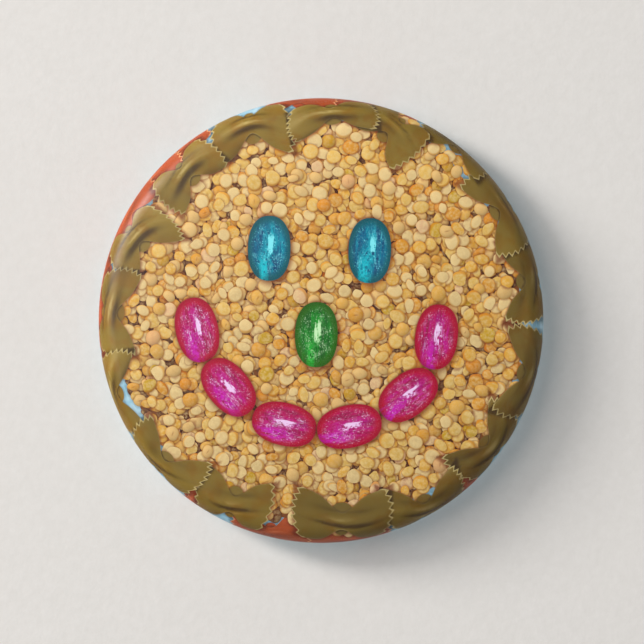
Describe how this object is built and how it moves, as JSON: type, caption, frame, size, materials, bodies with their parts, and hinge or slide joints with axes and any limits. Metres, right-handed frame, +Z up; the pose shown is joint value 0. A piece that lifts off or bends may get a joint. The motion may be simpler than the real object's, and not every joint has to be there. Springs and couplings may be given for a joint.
{
  "type": "button badge",
  "caption": "Round pin-back button badge: a domed printed face under clear film, wrapped over a steel shell, with a sprung pin in the recessed back.",
  "frame": {"origin": "on the axis of the disc, halfway between the crown of the face and the back rim", "axes": "-Y out of the face, +Y out of the back, +Z up as the badge is worn, +X to the right as seen from the front"},
  "size_m": [0.0572, 0.0056, 0.0572],
  "materials": {
    "clear_film": "clear gloss",
    "printed_paper": "satin print",
    "tinplate": "bright tinplate",
    "spring_wire": "drawn spring steel, plated"
  },
  "bodies": {
    "badge": {"mylar_film": "clear_film", "printed_disc": "printed_paper", "front_shell": "tinplate", "back_plate": "tinplate", "pin_anchor": "spring_wire"},
    "needle": {"pin_needle": "spring_wire"}
  },
  "joints": [
    {"name": "needle_swing", "type": "hinge", "parent": "badge", "child": "needle", "pos_m": [-0.016, 0.00054, 0.0075], "axis": [0, 0.9781, 0.2079], "range_deg": [0, 60], "stiffness_Nm_per_rad": 0.004, "springref_deg": -5.73}
  ]
}
